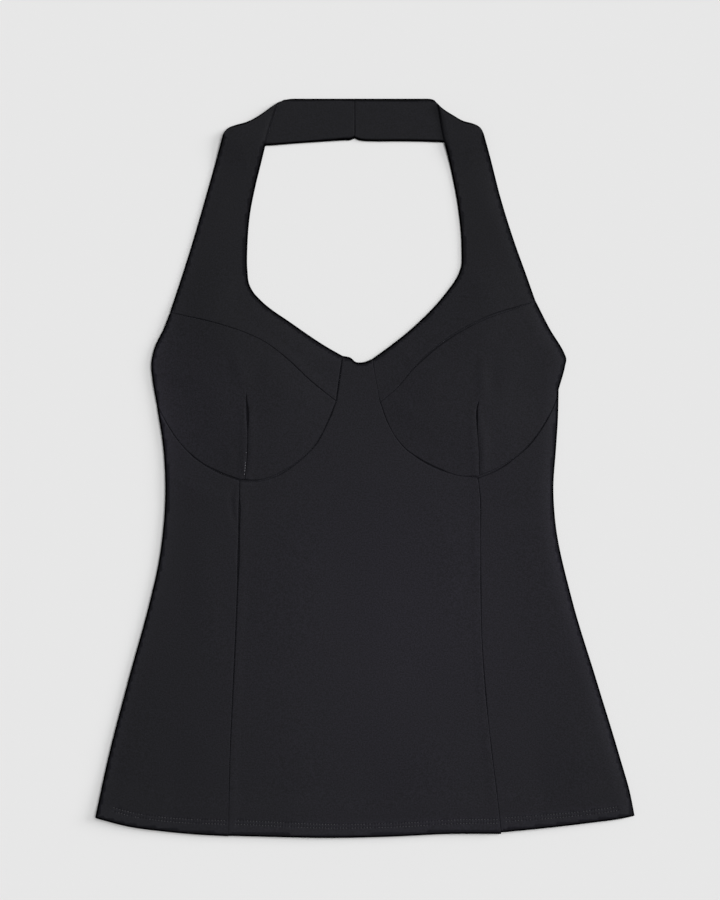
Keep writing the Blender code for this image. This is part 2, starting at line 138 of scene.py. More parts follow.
LEVEL_FROM = 176.0  # the strap lies on the surface from here up
LEVEL_TO = 262.0  # and to here
CUP_CLIMB = 62.0  # length over which it climbs to the cup
FOLD_CLIMB = 36.0  # and to the fold
STRAP_THIN = 0.45  # share of its wall that it loses at the fold
FOLD_RADIUS = 1.3  # of the strap's middle, round the fold
FOLD_SLIDE = 4.0  # how far the strap travels along the fold
FOLD_PINCH = 9.0  # from the fold's inner end, where it is pressed sharp
FOLD_SHARP = 0.2  # how much of its width it keeps there
FOLD_TURNS = 14  # facets round the fold
FOLD_COLUMNS = 30  # and across the strap
FOLD_ENDS = (0.3, 0.7, 1.2, 1.8)  # with closer points at both ends
BAND_FROM = 289.0  # from here up the strap lies on the band
BAND_ROWS = 56  # of points, from the fold to the centre back
BAND_LAST = 0.03  # share of the band beyond the last of them
BAND_SEAM = (0.9, 1.33, 3.5)  # the centre back seam: depth, turn, and where it is full

# Columns: out, up. A curve runs smoothly through its points.
RIGHT = {
    "strap_edge": ((133.3, 278), (143.5, 242), (153.9, 206), (165.2, 170), (175.1, 139.7)),
    "cup_edge": ((175.1, 139.7), (180.9, 125), (189.4, 107), (192, 94), (190.9, 80), (187, 57)),
    "side_seam": ((187, 57), (181, 17), (179.3, -15), (181.2, -55), (185.5, -86), (192.7, -118),
        (212.4, -190), (231, -262), (242.2, -314)),
    "centre_seam": ((19.9, 100.8), (22.2, 86.5), (25.9, 60)),
    "underbust_inner": ((25.9, 60), (31.7, 45.5), (45.8, 19.5), (67.6, 0.3), (81, -7.2), (96, -11.3),
        (112.5, -10.8)),
    "underbust_outer": ((112.5, -10.8), (130.5, -4.2), (145.4, 3.8), (158.3, 14), (169.3, 26.6),
        (178.5, 41), (187, 57)),
    "princess": ((112.5, -10.8), (113.1, -50), (114.6, -110), (117.7, -182), (121.2, -258),
        (122.4, -329.5)),
    "hem": ((122.4, -330.4), (156.8, -328.5), (184, -325.8), (211, -322), (242.2, -314)),
    "cup_seam": ((175.1, 139.7), (158.7, 136), (132, 129.6), (106, 121), (93, 115.1), (70.5, 98.8),
        (50.4, 79.8), (25.9, 60)),
    "neck_edge": ((85.3, 305), (92.3, 278), (98.7, 252), (103, 230), (105.6, 200), (105.6, 178),
        (103.9, 165.2), (100, 157.8), (93.9, 151.1), (65, 129.6), (32.7, 108), (19.9, 100.8)),
    "fold": ((127, 301), (123.5, 305.3), (117, 308), (106, 311), (95.5, 316.5), (81.1, 326.6),
        (77.5, 328.7)),
    "band_top": ((73.9, 330.3), (70.3, 331.3), (65, 332), (61, 332), (9.3, 332)),
    "band_bottom": ((106, 290), (88.4, 289.9), (60, 291.9), (30, 293.9), (18, 294.6), (12.5, 294.8),
        (9.3, 296.4)),
    "dart": ((106.7, 68), (105.6, 47), (105.2, 30), (105.6, 12), (107.6, -10.3)),
}
LEFT = {
    "strap_edge": ((113, 278), (122.3, 242), (133.5, 206), (146.4, 170), (153.4, 150)),
    "cup_edge": ((153.4, 150), (166.2, 125), (179.7, 102), (181, 98.5), (180, 92), (174.1, 70.5)),
    "side_seam": ((174.1, 70.5), (173.5, 45), (171.7, 17), (169.4, -19), (170.9, -46), (186.1, -118),
        (207.9, -190), (229.8, -262), (238.3, -292), (242.3, -312.3)),
    "centre_seam": ((6.6, 98.1), (9, 83.3), (13.7, 59)),
    "underbust_inner": ((13.7, 59), (20, 41.6), (26.7, 29), (35.3, 18.3), (46.5, 9.7), (71.4, -2.9),
        (84.7, -6.9), (101.3, -8.3)),
    "underbust_outer": ((101.3, -8.3), (118.3, -1.4), (131.3, 6.8), (143, 16.4), (153, 27.6), (163, 43),
        (171.7, 61), (174.1, 70.5)),
    "princess": ((101.3, -8.3), (103.2, -24), (103.6, -60), (103.9, -110), (105, -156), (108.4, -204),
        (113.4, -252), (119.3, -300), (122.2, -327)),
    "hem": ((122.2, -327), (153.7, -324), (180, -321.1), (208, -317.7), (226, -315.4), (242.3, -312.3)),
    "cup_seam": ((153.4, 150), (137.7, 144.7), (112, 136.2), (87.4, 124.2), (64.7, 109), (44.7, 90.8),
        (27.4, 70.6), (13.7, 59)),
    "neck_edge": ((68.3, 307.5), (77.1, 269), (83.8, 233), (86.8, 197), (86.1, 180), (82, 170.3),
        (75, 160.3), (41.1, 124.5), (18.7, 106.8), (6.6, 98.1)),
    "fold": ((106.3, 301.5), (104.5, 305.3), (98.5, 309.1), (87.9, 312), (80, 316.6), (69, 323.8),
        (65.6, 327)),
    "band_top": ((62.5, 330.6), (60.5, 331.5), (56, 332), (52, 332), (-9.3, 332)),
    "band_bottom": ((91, 292), (68.2, 292.8), (52, 293.4), (32, 293.7), (6, 293.7), (-1, 294),
        (-5.5, 294.7), (-9.3, 296.4)),
    "dart": ((102.3, 61), (100.6, 54), (100.4, 41), (101.3, 26.5), (102.4, 12), (102.5, -7)),
}
SIDES = {"right": (-1, RIGHT), "left": (1, LEFT)}
CENTRE_NECK = ((6.6, 98.1), (-0.2, 95.3), (-4, 94.8), (-8, 95.2), (-12.8, 99.1), (-19.9, 100.8))
CENTRE_HEM = (
    (-122.4, -330), (-75, -331.2), (-30, -332), (0, -331.5), (32, -330.4), (72, -328.5), (122.2, -328.3),
)
BACK_NECK = ((181.2, 97), (90, 88), (-10, 84), (-100, 86), (-192.5, 93))

# Soft ridges and troughs in the front. Columns: x and y of one end, x and y of the other, height, width.
BODY_CREASES = (
    (-117.6, -17, -119.9, -29, -0.55, 1.8),
    (-119.9, -29, -118.9, -40, -0.55, 1.8),
    (-118.9, -40, -116.3, -49, -0.45, 1.8),
    (-116.3, -49, -113.8, -57, -0.3, 1.8),
    (-116.2, -18, -116.0, -42, 0.35, 2.4),
    (-112, -14.2, -101, -14.4, 0.4, 1.3),
    (-150, -60, -132, -190, 0.3, 12),
    (-60, -40, -78, -190, 0.42, 28),
    (-20, -60, -12, -150, -0.3, 22),
    (34, -80, 46, -235, -0.34, 30),
    (72, -30, 84, -150, 0.36, 20),
    (150, -40, 168, -165, 0.42, 17),
    (-156, -40, -176, -190, -0.34, 16),
    (-204, -225, -219, -312, 0.55, 17),
    (-168, -250, -172, -325, -0.4, 15),
    (-62, -235, -60, -332, 0.45, 24),
    (6, -250, 2, -332, -0.32, 20),
    (58, -240, 62, -330, 0.38, 22),
    (150, -235, 160, -322, -0.4, 14),
    (188, -215, 204, -316, 0.5, 18),
    (-180, -8, -132, -24, 0.34, 7),
    (-181, -34, -140, -42, -0.26, 8),
    (169, -14, 126, -26, 0.34, 7),
    (170, -40, 134, -46, -0.24, 8),
)
CUP_CREASES = (
    (-108, 74, -117, 104, 0.55, 6),
    (-100, 74, -92, 100, -0.4, 6),
    (-150, 78, -186, 92, 0.5, 9),
    (-60, 58, -34, 62, 0.35, 7),
    (-120, 20, -122, 2, 0.3, 5),
    (-108.4, 9, -107.6, -10, 0.45, 1.2),
    (105.5, 98, 105, 62, 0.55, 4.5),
    (115, 96, 116, 60, -0.35, 6),
    (140, 74, 176, 92, 0.55, 9),
    (52, 44, 26, 56, 0.35, 7),
    (107.6, 38, 107.2, 0, 0.60, 4.2),
)
STRAP_CREASES = (
    (-117, 300, -104, 268, 0.35, 6),
    (-98, 306, -96, 270, -0.3, 5),
    (-126, 250, -150, 190, 0.25, 8),
    (-112, 180, -140, 150, 0.4, 12),
    (100, 300, 92, 266, 0.35, 6),
    (82, 308, 84, 272, -0.3, 5),
    (106, 246, 128, 192, 0.25, 8),
    (92, 178, 118, 152, 0.4, 12),
    (-46, 112, -70, 92, 0.3, 6),
    (30, 108, 52, 90, 0.3, 6),
)

# How deep and how wide open each dart is, at even steps from its tip.
DART_DEPTHS = {
    "right": (0.3, 1.6, 2.5, 2.1, 1.2, 1.7, 1.6, 0.6, 1.0, 0.9),
    "left": (0.6, 1.5, 2.3, 1.5, 0.5, 0.35, 0.45, 0.5, 0.4, 0.4),
}
DART_GAPES = {
    "right": (0, 0.5, 1.4, 0.9, 0.1, 0, 0, 0, 0, 0),
    "left": (0, 0.3, 0.55, 0.2, 0, 0, 0, 0, 0, 0),
}
DART_WIDTH = 0.45  # of a closed dart's valley, to each side
DART_SWELL = (0.35, 3.4, 2.8)  # beside it: height, distance and half width
DART_ROWS = (0.2, 0.4, 0.65, 1.0, 1.6, 2.4)  # where the points beside a dart lie

STITCH_PITCH = 2.7
STITCH_LENGTH = 1.75
STITCH_RADIUS = 0.25
STITCH_SAG = 0.28  # how far a stitch's ends dip
STITCH_ROWS = 3.2  # between the two rows of the hem's stitching
STITCH_ENDS = 14.0  # from the side seams to the first stitches
STITCH_SHUFFLE = (-1.0, 0.5)  # by chance, in radiuses
SEAM_CLEAR = 3.2  # where a seam hides them
THREADS = (0.69, 0.78, 0.81, 0.84, 0.87, 0.90, 0.94)  # pale ends by a dart, as shares of its length
THREADS_BESIDE = 1.0

HOLE_RADIUS = 0.5
HOLE_DEPTH = 0.55
HOLE_SIDES = 6
# The lower row of the hem's stitching. Columns: X, and how far the row is above the hem.
STITCH_LINE = (
    (-242, 10.6), (-180, 9.5), (-130, 10.7), (-40, 9.2), (50, 8.7), (100, 9.8), (200, 7.9), (242, 8.2),
)


# ---- curves


def smooth(points, step=EDGE_STEP):
    """A smooth curve through the points, read about every step and at each point."""
    points = np.array(points, float)
    lengths = np.linalg.norm(np.diff(points, axis=0), axis=1)
    slopes = np.diff(points, axis=0) / lengths[:, None]
    inner = slopes[:-1] * lengths[1:, None] + slopes[1:] * lengths[:-1, None]
    inner /= (lengths[:-1] + lengths[1:])[:, None]
    tangents = np.vstack((slopes[:1], inner, slopes[-1:]))
    read = [points[:1]]
    for k, length in enumerate(lengths):
        t = np.linspace(0, 1, max(1, round(length / step)) + 1)[1:, None]
        start = (1 + 2 * t) * (1 - t) ** 2 * points[k] + t * (1 - t) ** 2 * length * tangents[k]
        end = t**2 * (3 - 2 * t) * points[k + 1] + t**2 * (t - 1) * length * tangents[k + 1]
        read.append(start + end)
    return np.vstack(read)


def joined(*curves):
    """The curves in a row, with the point that two of them share taken once."""
    return np.vstack([curves[0]] + [curve[1:] for curve in curves[1:]])


def closed(*curves):
    """One outline of curves, without the last point, which is the first again."""
    return joined(*curves)[:-1]


def along(curve):
    """How far along the curve each of its points is."""
    return np.concatenate(([0], np.cumsum(np.linalg.norm(np.diff(curve, axis=0), axis=1))))


def read_at(curve, lengths):
    """The curve's points at these lengths along it."""
    known = along(curve)
    return np.column_stack([np.interp(lengths, known, curve[:, k]) for k in (0, 1)])


def placed(curve, side):
    """A side's curve in X and Y."""
    return curve * (SIDES[side][0], 1)


def line_of(side, *names):
    """Curves of this side, joined, in X and Y."""
    return placed(joined(*[CURVES[side][name] for name in names]), side)


CURVES = {side: {name: smooth(points) for name, points in SIDES[side][1].items()} for side in SIDES}
SIDE_EDGES = {side: line_of(side, "cup_edge", "side_seam") for side in SIDES}
OUTER_EDGES = {side: line_of(side, "strap_edge", "cup_edge", "side_seam") for side in SIDES}
HEM_LINE = np.vstack((line_of("right", "hem")[::-1], smooth(CENTRE_HEM), line_of("left", "hem")))
UNDERBUST = ("underbust_inner", "underbust_outer")


def counter_clockwise(outline):
    x, y = outline.T
    area = np.dot(x, np.roll(y, -1)) - np.dot(y, np.roll(x, -1))
    return outline if area > 0 else outline[::-1]


def inset(outline, distance):
    """The counter-clockwise outline, moved inward."""
    edges = np.roll(outline, -1, axis=0) - outline
    edges /= np.linalg.norm(edges, axis=1)[:, None]
    after = np.column_stack((-edges[:, 1], edges[:, 0]))
    before = np.roll(after, 1, axis=0)
    spread = np.maximum(1 + (before * after).sum(axis=1), MITRE)
    return outline + distance * (before + after) / spread[:, None]


def nearest(points, line, block=4000):
    """How far each point is from the line, and how far along the line its nearest place is."""
    starts, runs = line[:-1], np.diff(line, axis=0)
    squares = (runs**2).sum(axis=1)
    known = along(line)
    away, place = [], []
    for first in range(0, len(points), block):
        reach = points[first : first + block, None] - starts
        share = np.clip((reach * runs).sum(axis=2) / squares, 0, 1)
        far = ((reach - share[..., None] * runs) ** 2).sum(axis=2)
        best = far.argmin(axis=1)
        rows = np.arange(len(best))
        away.append(np.sqrt(far[rows, best]))
        place.append(known[best] + share[rows, best] * np.sqrt(squares[best]))
    return np.concatenate(away), np.concatenate(place)


def distance(points, line):
    return nearest(points, line)[0]


def within(points, outline, block=4000):
    """Which points are inside the outline."""
    ends = np.roll(outline, -1, axis=0)
    rise = np.where(outline[:, 1] == ends[:, 1], 1.0, ends[:, 1] - outline[:, 1])
    found = []
    for first in range(0, len(points), block):
        x, y = points[first : first + block, :1], points[first : first + block, 1:]
        crossed = (outline[:, 1] > y) != (ends[:, 1] > y)
        meets = outline[:, 0] + (y - outline[:, 1]) * (ends[:, 0] - outline[:, 0]) / rise
        found.append((crossed & (x < meets)).sum(axis=1) % 2 == 1)
    return np.concatenate(found)


# ---- heights


def ease(share):
    """0 below 0, 1 above 1, and a soft step between them."""
    share = np.clip(share, 0, 1)
    return share**2 * (3 - 2 * share)


def quarter(share):
    """How high a quarter of an ellipse has risen this far along it."""
    return np.sqrt(1 - (1 - np.clip(share, 0, 1)) ** 2)


def from_side(points):
    """How far each point is from the nearer side seam or armhole edge."""
    return np.minimum(*[distance(points, edge) for edge in SIDE_EDGES.values()])


def uneven(lengths, period, seed):
    """A smooth, uneven wave along a line, from -1 to 1."""
    turn = 2 * np.pi * lengths / period
    waves = sum(height * np.sin(pace * turn + share * seed) for height, pace, share in WAVES)
    return waves / sum(height for height, _, _ in WAVES)


def creases(points, table, ends=0.35):
    """The ridges and troughs of a table, each fading to this share at its ends."""
    height = np.zeros(len(points))
    for x0, y0, x1, y1, rise, width in table:
        start, run = np.array((x0, y0)), np.array((x1 - x0, y1 - y0))
        share = (points - start) @ run / np.linalg.norm(run) ** 2
        near = np.clip(share, 0, 1)
        away = np.linalg.norm(points - start - near[:, None] * run, axis=1)
        fade = ends + (1 - ends) * np.sin(np.pi * near)
        height += rise * fade * np.exp(-((away / width) ** 2))
    return height


def tilted(points, name, line):
    """How far the cloth lifts or sinks towards one of its edges."""
    rise, reach = EDGE_TILT[name]
    away, place = nearest(points, line)
    return rise * (1 + 0.3 * uneven(place, 130.0, 1.0)) * np.exp(-((away / reach) ** 2))


def body_level(points):
    """The front body's upper face, away from its edges and seams."""
    near_hem = ease((HEM_DEPTH + HEM_EASE - distance(points, HEM_LINE)) / HEM_EASE)
    level = FRONT_TOP + (HEM_TOP - FRONT_TOP) * near_hem + tilted(points, "hem", HEM_LINE)
    for side, line in SIDE_EDGES.items():
        level += tilted(points, side, line)
    return level


def in_hem(points):
    """1 on the turned-up hem, and 0 above it."""
    return np.clip((HEM_DEPTH + HEM_STEP - distance(points, HEM_LINE)) / HEM_STEP, 0, 1)


def dome(points, side):
    """How far a cup stands above the body."""
    up = np.clip(distance(points, line_of(side, "centre_seam", *UNDERBUST)) / UNDERBUST_REACH, 0, 1)
    across = ease(distance(points, line_of(side, "strap_edge", "cup_edge")) / SIDE_REACH)
    down = ease(distance(points, line_of(side, "neck_edge")) / NECK_REACH)
    return CUP_RISE * (CUP_ROUND * up * (2 - up) + (1 - CUP_ROUND) * ease(up)) * across * down


def dart_shape(points, side):
    """The sewn dart: a narrow valley, with the cloth beside it drawn in."""
    line = line_of(side, "dart")
    away, place = nearest(points, line)
    share = place / along(line)[-1]
    even = np.linspace(0, 1, len(DART_DEPTHS[side]))
    depth = np.interp(share, even, DART_DEPTHS[side])
    width = DART_WIDTH + np.interp(share, even, DART_GAPES[side])
    valley = -depth * (1 - ease(away / width)) * ease((share + 0.01) / 0.05)
    rise, beside_it, spread = DART_SWELL
    return valley + rise * np.exp(-(((away - beside_it) / spread) ** 2)) * ease(share / 0.3)


def puckers(points, seam, seed, height=0.11, reach=5.0, period=8.0):
    """The slight gathering beside a line of stitching."""
    away, place = nearest(points, seam[0])
    return height * uneven(place, period, seed) * np.exp(-away / reach)


def painted_edge_sheen(points):
    """How strong the painted sheen is along the cloth's edges: the hem, the outer edges and the neck."""
    above = distance(points, HEM_LINE) - HEM_DEPTH + PAINTED_SHEEN_STEP / 2
    most = PAINTED_SHEEN_HEM * (1 - ease(above / PAINTED_SHEEN_STEP))
    down = ease((160 - points[:, 1]) / 60.0)
    for side, outer in OUTER_EDGES.items():
        away, place = nearest(points, outer)
        full = PAINTED_SHEEN_SIDES[side] * (1 + 0.25 * uneven(place, 90.0, 2.0))
        most = np.maximum(most, full * np.exp(-away / (OUTER_REACH[0] + OUTER_REACH[1] * down)))
        away, place = nearest(points, line_of(side, "neck_edge"))
        full = PAINTED_SHEEN_NECK * (1 + 0.4 * uneven(place, 60.0, 3.0))
        most = np.maximum(most, full * np.exp(-away / PAINTED_SHEEN_REACH))
    return most


def at_rim(away):
    """Where the rim's shade is painted: 1 where the cloth turns down at a free edge, and 0 further in."""
    return 1 - ease((away - RIM[0]) / (RIM[1] - RIM[0]))


def from_edge(points):
    """How far each point is from the nearest free edge of the whole top."""
    lines = [HEM_LINE, smooth(CENTRE_NECK), *OUTER_EDGES.values()]
    lines += [line_of(side, "neck_edge") for side in SIDES]
    return np.min([distance(points, line) for line in lines], axis=0)


def allowance(points, seam, seed, width=8.5, height=0.35, step=4.0):
    """The soft, uneven step over the edge of a seam allowance pressed to this side."""
    away, place = nearest(points, seam[0])
    full = 0.6 + 0.4 * uneven(place, 90.0, seed)
    return height * full * ease((width - away) / step)


def strap_level(points, side):
    """The strap's upper face: on the cup, then down on the surface, then up to the fold."""
    up = points[:, 1]
    to_fold = ease((up - LEVEL_TO) / FOLD_CLIMB)
    to_cup = ease((LEVEL_FROM - up) / CUP_CLIMB)
    level = STRAP_WALL + 2 * FOLD_RADIUS * to_fold + (FRONT_TOP - STRAP_WALL) * to_cup
    loose = ease((285 - up) / 30) * 0.6 + 0.4
    level += STRAP_TILT * tilted(points, side, line_of(side, "strap_edge")) * (1 - to_fold)
    level += tilted(points, "neck", line_of(side, "neck_edge")) * to_cup
    return level + dome(points, side) + np.maximum(creases(points, STRAP_CREASES), 0) * loose


def rounded(top, bottom, away, width, height=0.5):
    """The wall's faces near a free edge that is rounded at this share of its height."""
    share = np.maximum(quarter(away / width), THIN_EDGE)
    middle = bottom + (top - bottom) * height
    return middle + (top - middle) * share, middle + (bottom - middle) * share


def seamed(top, bottom, points, seam):
    """The faces where a seam draws the cloth down between its neighbours."""
    line, depths = seam
    away, place = nearest(points, line)
    depth = np.interp(place / along(line)[-1], np.linspace(0, 1, len(depths)), depths)
    width = SEAM_TURN * (SEAM_WIDTHS[0] + SEAM_WIDTHS[1] * depth)
    slit = SEAM_SLIT[1] * np.maximum(depth - SEAM_SLIT[0], 0)
    thinnest = (top - bottom) * (1 - SEAM_SHARE)
    top = top - depth * (1 - quarter((away - slit) / width))
    return top, np.minimum(bottom, top - thinnest)


def all_seamed(top, bottom, points, seams):
    for near in seams:
        top, bottom = seamed(top, bottom, points, near)
    return top, bottom


def seam(side, *names):
    """A seam of this side: its curves, and how deep it is drawn in along them."""
    depths = SEAM_DEPTHS[side]["underbust" if names == UNDERBUST else names[0]]
    return line_of(side, *names), depths


def side_rolled(top, bottom, away):
    """The front's faces turned down to the side seam."""
    low = SIDE_SEAM_HEIGHT + SEAM_GAP / 2
    inner = (away - CLOTH) / (SIDE_ROLL - CLOTH)
    top = low + SIDE_LIP + (top - low - SIDE_LIP) * quarter(away / SIDE_ROLL)
    return top, low + (bottom - low) * quarter(inner)


# ---- meshes


def triangulate(outline, inner):
    """The outline and the points in it as triangles."""
    points = np.vstack((outline, inner))
    loop = [list(range(len(outline)))]
    found = delaunay_2d_cdt([Vector(point) for point in points], [], loop, 1, 1e-7)
    order = np.array([kept[0] for kept in found[3]])
    return points, order[np.array(found[2])]


def beside(line, offsets):
    """Points at these distances on both sides of a line."""
    runs = np.gradient(line, axis=0)
    runs /= np.linalg.norm(runs, axis=1)[:, None]
    across = np.column_stack((-runs[:, 1], runs[:, 0]))
    rows = [line]
    for offset in offsets:
        rows += [line + offset * across, line - offset * across]
    return np.vstack(rows)


def inner_points(outline, step, extra=None, clear=0.0):
    """Points inside a piece: rings along its edges, extra points and a square grid."""
    low, high = outline.min(axis=0), outline.max(axis=0)
    columns = np.arange(low[0] + step / 2, high[0], step)
    rows = np.arange(low[1] + step / 2, high[1], step)
    grid = np.array(np.meshgrid(columns, rows)).reshape(2, -1).T
    loop = np.vstack((outline, outline[:1]))
    rings = [SEAM_TURN * share for share in EDGE_RINGS]
    kept = []
    for ring in rings:
        near = inset(outline, ring)
        near = near[distance(near, loop) > RING_SHARE * ring]
        kept.append(near[within(near, outline)])
    grid = grid[within(grid, outline)]
    grid = grid[distance(grid, loop) > rings[-1] + GRID_CLEAR * step]
    if extra is not None:
        extra = extra[within(extra, outline)]
        extra = extra[distance(extra, loop) > rings[-1] + 0.1]
        kept.append(extra)
        grid = grid[spacing(grid, extra) > clear]
    kept.append(grid)
    return np.vstack(kept)


def spacing(points, others, block=2000):
    """How far each point is from the nearest of the others."""
    found = []
    for first in range(0, len(points), block):
        reach = points[first : first + block, None] - others
        found.append(np.sqrt((reach**2).sum(axis=2).min(axis=1)))
    return np.concatenate(found)


def rim_shade_looks(mesh, triangles, rim, rim_shade):
    """Which cloth each face takes: the duller copies paint the shade of the rim."""
    normals = np.empty(3 * len(mesh.polygons))
    mesh.polygons.foreach_get("normal", normals)
    flat = rim_shade[triangles].mean(axis=1)
    strength = np.concatenate((flat, flat, [(rim_shade[a] + rim_shade[b]) / 2 for a, b in rim]))
    strength *= ease((normals[2::3] - RIM_FACING[0]) / (RIM_FACING[1] - RIM_FACING[0]))
    mesh.polygons.foreach_set("material_index", np.digitize(strength, RIM_STEPS).astype(np.int32))


def wall(name, upper, lower, triangles, cloths, marks):
    """A closed wall between two faces that share their triangles, with marks for the painted sheen and rim
    shade.
    """
    edges = np.vstack([triangles[:, pair] for pair in ((0, 1), (1, 2), (2, 0))])
    known = {tuple(edge) for edge in edges.tolist()}
    rim = sorted((a, b) for a, b in known if (b, a) not in known)
    count = len(upper)
    faces = triangles.tolist()
    faces += [[a + count, b + count, c + count] for c, b, a in triangles.tolist()]
    faces += [[a + count, b + count, b, a] for a, b in rim]
    points = np.vstack((upper, lower)) * MM + (*MIDDLE, SURFACE)
    mesh = bpy.data.meshes.new(name)
    mesh.from_pydata(points.tolist(), [], faces)
    mesh.shade_smooth()
    mesh.set_sharp_from_angle(angle=math.radians(60))
    for cloth in cloths:
        mesh.materials.append(cloth)
    rim_shade_looks(mesh, triangles, rim, marks["rim"])
    for mark, strengths in marks.items():
        layer = mesh.attributes.new(mark, "FLOAT", "POINT")
        layer.data.foreach_set("value", np.tile(strengths, 2).astype(np.float32))
    piece = bpy.data.objects.new(name, mesh)
    bpy.context.collection.objects.link(piece)
    return piece


def in_place_of(node, upper, lower, triangles, cloths, marks):
    """A wall of cloth that rides on the frame instead of the CAD node."""
    piece = wall(node + "_cloth", upper, lower, triangles, cloths, marks)
    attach(piece, "root")
    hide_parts(node)
    return piece


def cloth_piece(node, outline, shape, cloths, step=GRID_STEP, extra=None, clear=0.0):
    """A flat-cut piece whose shape function gives its upper and lower face."""
    outline = inset(counter_clockwise(outline), SEAM_GAP / 2)
    points, triangles = triangulate(outline, inner_points(outline, step, extra, clear))
    top, bottom = shape(points)
    upper = np.column_stack((points, top))
    lower = np.column_stack((points, bottom))
    # Marks for the painted sheen along the edges and for the painted shade of the rim.
    marks = {"painted_edge_sheen": painted_edge_sheen(points), "rim": at_rim(from_edge(points))}
    return in_place_of(node, upper, lower, triangles, cloths, marks)


# ---- the hem's stitching


def direction(curve, lengths, reach):
    """Which way the curve runs at these lengths, read over this reach."""
    run = read_at(curve, lengths + reach) - read_at(curve, lengths - reach)
    return run / np.linalg.norm(run, axis=1)[:, None]


def stitch_rows():
    """The hem's two rows: each stitch's middle and direction, and the middle of the space after it."""
    lengths = np.arange(STITCH_ENDS, along(HEM_LINE)[-1] - STITCH_ENDS, STITCH_PITCH)
    across = read_at(HEM_LINE, lengths)[:, 0]
    lengths = lengths[np.all([abs(across - foot) > SEAM_CLEAR for foot in FEET.values()], axis=0)]
    heights = smooth(STITCH_LINE)
    found = []
    for row in range(2):
        middles = []
        for at in (lengths, lengths + STITCH_PITCH / 2):
            run = direction(HEM_LINE, at, 2.0)
            middle = read_at(HEM_LINE, at)
            above = np.interp(middle[:, 0], heights[:, 0], heights[:, 1]) + row * STITCH_ROWS
            middles.append(middle + np.column_stack((-run[:, 1], run[:, 0])) * above[:, None])
        found.append((middles[0], run, middles[1]))
    return found


def dart_threads(side):
    """The pale thread ends along the foot of the dart: the middle and direction of each."""
    line = placed(smooth(SIDES[side][1]["dart"], DART_STEP), side)
    lengths = along(line)[-1] * np.array(THREADS)
    run = direction(line, lengths, 1.0)
    return [(read_at(line, lengths) + np.column_stack((run[:, 1], -run[:, 0])) * THREADS_BESIDE, run)]


FEET = {side: SIDES[side][0] * SIDES[side][1]["princess"][-1][0] for side in SIDES}  # of the princess seams
STITCHES = stitch_rows()
HOLES = np.vstack([holes for _, _, holes in STITCHES])


def hole_points():
    """Points for a dimple at each needle hole of the hem."""
    rings = [HOLES]
    for radius in (0.5 * HOLE_RADIUS, HOLE_RADIUS):
        for turn in np.arange(HOLE_SIDES) * 2 * np.pi / HOLE_SIDES:
            rings.append(HOLES + radius * np.array((np.cos(turn), np.sin(turn))))
    return np.vstack(rings)


def needle_holes(points):
    """How deep the needle holes are in the cloth."""
    near_hem = distance(points, HEM_LINE) < HEM_DEPTH + 2
    depth = np.zeros(len(points))
    depth[near_hem] = 1 - ease(spacing(points[near_hem], HOLES) / HOLE_RADIUS)
    return HOLE_DEPTH * depth


# ---- the pieces


def make_back(cloths):
    sides = {}
    for side in SIDES:
        armhole = line_of(side, "cup_edge")
        sides[side] = joined(armhole[armhole[:, 1] < UNDERARM_HEIGHT], line_of(side, "side_seam"))
    hem = HEM_LINE[1:-1] + (0, BACK_HEM_SHORT)
    neck = smooth(BACK_NECK)[1:-1]
    outline = np.vstack((sides["right"], hem, sides["left"][::-1], neck))

    def shape(points):
        high = SIDE_SEAM_HEIGHT - SEAM_GAP / 2
        away = from_side(points)
        inner = (away - CLOTH) / (SIDE_ROLL - CLOTH)
        top = high + (CLOTH * (1 + in_hem(points)) - high) * quarter(inner)
        bottom = (high - SIDE_LIP) * (1 - quarter(away / SIDE_ROLL))
        top, bottom = rounded(top, bottom, distance(points, hem), CLOTH)
        return rounded(top, bottom, distance(points, neck), CLOTH / 2)

    return cloth_piece("back", outline, shape, cloths, step=BACK_STEP)


def body_shape(points, seams, full=()):
    """A front body piece's faces, with its seams and those whose allowance lies under it."""
    level = body_level(points) + creases(points, BODY_CREASES)
    for k, near in enumerate(seams):
        level += puckers(points, near, 1.7 * k + 0.4)
    for k, near in enumerate(full):
        level += allowance(points, near, 1.3 * k + 0.9)
    return level - needle_holes(points), level - CLOTH * (1 + in_hem(points))


def make_centre_front(cloths):
    up_left = line_of("left", "centre_seam", "underbust_inner", "princess")[::-1]
    down_right = line_of("right", "centre_seam", "underbust_inner", "princess")
    neck = smooth(CENTRE_NECK)
    outline = np.vstack((smooth(CENTRE_HEM), up_left, neck[1:-1], down_right))
    full = [seam(side, "princess") for side in SIDES]
    seams = full + [seam(side, "centre_seam") for side in SIDES] + [seam(side, *UNDERBUST) for side in SIDES]

    def shape(points):
        top, bottom = all_seamed(*body_shape(points, seams, full), points, seams)
        top, bottom = rounded(top, bottom, distance(points, HEM_LINE), HEM_TURN)
        return rounded(top, bottom, distance(points, neck), CLOTH / 2)

    return cloth_piece("centre_front", outline, shape, cloths, extra=hole_points(), clear=1.0)


def make_side_front(side, cloths):
    curves = CURVES[side]
    outline = closed(
        curves["hem"], curves["side_seam"][::-1], curves["underbust_outer"][::-1], curves["princess"]
    )
    seams = [seam(side, "princess"), seam(side, *UNDERBUST)]

    def shape(points):
        top, bottom = body_shape(points, seams)
        top, bottom = side_rolled(top, bottom, distance(points, SIDE_EDGES[side]))
        top, bottom = all_seamed(top, bottom, points, seams)
        return rounded(top, bottom, distance(points, HEM_LINE), HEM_TURN)

    outline = placed(outline, side)
    return cloth_piece("side_front_" + side, outline, shape, cloths, extra=hole_points(), clear=1.0)


